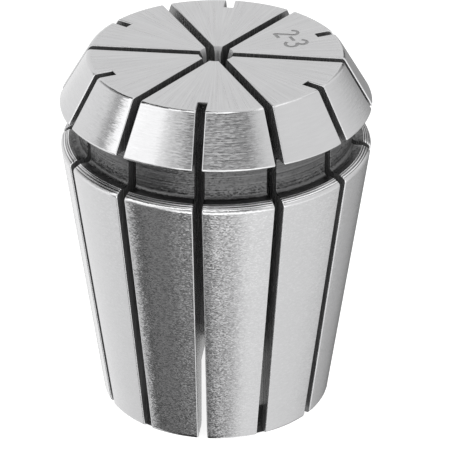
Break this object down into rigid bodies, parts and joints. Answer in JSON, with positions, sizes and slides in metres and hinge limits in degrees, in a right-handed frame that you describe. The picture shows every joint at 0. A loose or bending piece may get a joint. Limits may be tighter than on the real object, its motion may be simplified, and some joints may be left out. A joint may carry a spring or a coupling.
{
  "type": "er collet",
  "caption": "Slotted steel collet with a long taper, a grooved neck and a conical nose, which closes on a small round tool shank when it is pressed into its holder",
  "frame": {"origin": "centre of the small rear face, on the collet's axis", "axes": "+Z runs along the axis from the rear face to the front face, and +X lies in the middle of a front slot"},
  "size_m": [0.033, 0.033, 0.04],
  "materials": {
    "ground_steel": "ground"
  },
  "bodies": {
    "root": {"collet": "ground_steel"}
  },
  "joints": []
}
